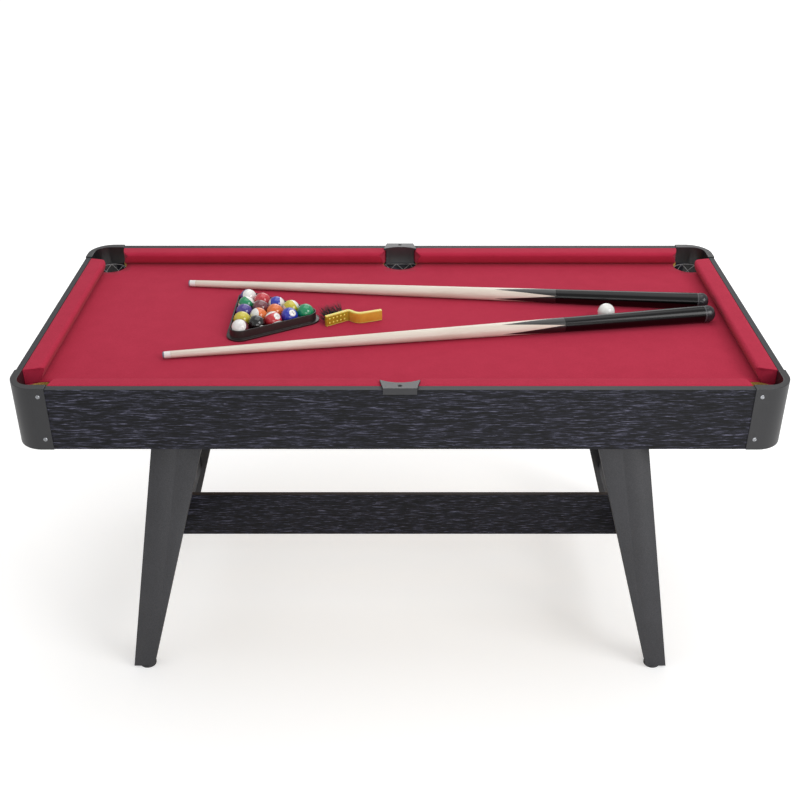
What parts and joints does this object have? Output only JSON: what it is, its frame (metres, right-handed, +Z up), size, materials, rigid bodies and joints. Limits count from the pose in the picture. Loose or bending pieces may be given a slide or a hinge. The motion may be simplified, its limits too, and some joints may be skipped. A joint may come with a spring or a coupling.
{
  "type": "pool table",
  "caption": "Compact pool table with six net pockets, wood-grain cabinet, splayed board legs on levelling feet, and its balls, triangle rack, cues and brush laid on red cloth",
  "frame": {"origin": "on the floor under the middle of the table", "axes": "X along the table, Y from front to back, Z up"},
  "size_m": [1.5362, 0.7392, 0.7574],
  "materials": {
    "black_laminate": "black wood-grain laminate, satin",
    "grey_laminate": "dark grey speckled laminate, satin",
    "fibreboard": "raw fibreboard",
    "softwood": "planed softwood",
    "red_cloth": "woven red table cloth",
    "black_plastic": "satin moulded plastic",
    "net_cord": "thin knotted cord",
    "screw_steel": "zinc plated",
    "dark_screw": "blackened",
    "white_plastic": "white ferrule",
    "maple": "clear-coated pale maple with dark splices",
    "black_lacquer": "gloss black lacquer",
    "grey_rubber": "moulded rubber",
    "ball_white": "polished resin",
    "ball_colours": "polished resin in the usual solid and striped colours",
    "rack_plastic": "moulded, semi-gloss",
    "amber_plastic": "translucent amber",
    "black_bristle": "fine bristles"
  },
  "bodies": {
    "table": {"front_apron": "black_laminate", "back_apron": "black_laminate", "left_apron": "black_laminate", "right_apron": "black_laminate", "stretcher": "black_laminate", "end_rail_left": "black_laminate", "end_rail_right": "black_laminate", "leg_front_left": "grey_laminate", "leg_front_right": "grey_laminate", "leg_back_left": "grey_laminate", "leg_back_right": "grey_laminate", "playing_bed": "fibreboard", "bed_battens": "softwood", "leg_cleats": "softwood", "rail_block_front_left": "softwood", "rail_block_front_right": "softwood", "rail_block_back_left": "softwood", "rail_block_back_right": "softwood", "rail_block_left": "softwood", "rail_block_right": "softwood", "bed_cloth": "red_cloth", "cushion_front_left": "red_cloth", "cushion_front_right": "red_cloth", "cushion_back_left": "red_cloth", "cushion_back_right": "red_cloth", "cushion_left": "red_cloth", "cushion_right": "red_cloth", "corner_cap_front_left": "black_plastic", "corner_cap_front_right": "black_plastic", "corner_cap_back_left": "black_plastic", "corner_cap_back_right": "black_plastic", "side_pocket_plate_front": "black_plastic", "side_pocket_plate_back": "black_plastic", "net_front_left": "net_cord", "net_front_right": "net_cord", "net_back_left": "net_cord", "net_back_right": "net_cord", "net_front_middle": "net_cord", "net_back_middle": "net_cord", "cap_screws": "screw_steel", "leg_bolts": "screw_steel", "stretcher_bolts": "screw_steel", "side_pocket_screws": "dark_screw"},
    "foot_front_left": {"leveller_front_left": "black_plastic"},
    "foot_front_right": {"leveller_front_right": "black_plastic"},
    "foot_back_left": {"leveller_back_left": "black_plastic"},
    "foot_back_right": {"leveller_back_right": "black_plastic"},
    "cue_1": {"cue_1_tip": "white_plastic", "cue_1_shaft": "maple", "cue_1_butt": "black_lacquer", "cue_1_bumper": "grey_rubber"},
    "cue_2": {"cue_2_tip": "white_plastic", "cue_2_shaft": "maple", "cue_2_butt": "black_lacquer", "cue_2_bumper": "grey_rubber"},
    "cue_ball": {"cue_ball": "ball_white"},
    "racked_balls": {"object_balls": "ball_colours"},
    "triangle": {"triangle_rack": "rack_plastic"},
    "brush": {"brush_handle": "amber_plastic", "brush_bristles": "black_bristle"}
  },
  "joints": [
    {"name": "leveller_front_left_screw", "type": "slide", "parent": "table", "child": "foot_front_left", "axis": [0, 0, -1], "range_m": [0, 0.012]},
    {"name": "leveller_front_right_screw", "type": "slide", "parent": "table", "child": "foot_front_right", "axis": [0, 0, -1], "range_m": [0, 0.012]},
    {"name": "leveller_back_left_screw", "type": "slide", "parent": "table", "child": "foot_back_left", "axis": [0, 0, -1], "range_m": [0, 0.012]},
    {"name": "leveller_back_right_screw", "type": "slide", "parent": "table", "child": "foot_back_right", "axis": [0, 0, -1], "range_m": [0, 0.012]},
    {"name": "cue_1_lift", "type": "slide", "parent": "table", "child": "cue_1", "axis": [0, 0, 1], "range_m": [0, 0.2]},
    {"name": "cue_2_lift", "type": "slide", "parent": "table", "child": "cue_2", "axis": [0, 0, 1], "range_m": [0, 0.2]},
    {"name": "cue_ball_lift", "type": "slide", "parent": "table", "child": "cue_ball", "axis": [0, 0, 1], "range_m": [0, 0.2]},
    {"name": "racked_balls_lift", "type": "slide", "parent": "table", "child": "racked_balls", "axis": [0, 0, 1], "range_m": [0, 0.2]},
    {"name": "triangle_lift", "type": "slide", "parent": "racked_balls", "child": "triangle", "axis": [0, 0, 1], "range_m": [0, 0.2]},
    {"name": "brush_lift", "type": "slide", "parent": "table", "child": "brush", "axis": [0, 0, 1], "range_m": [0, 0.2]}
  ]
}
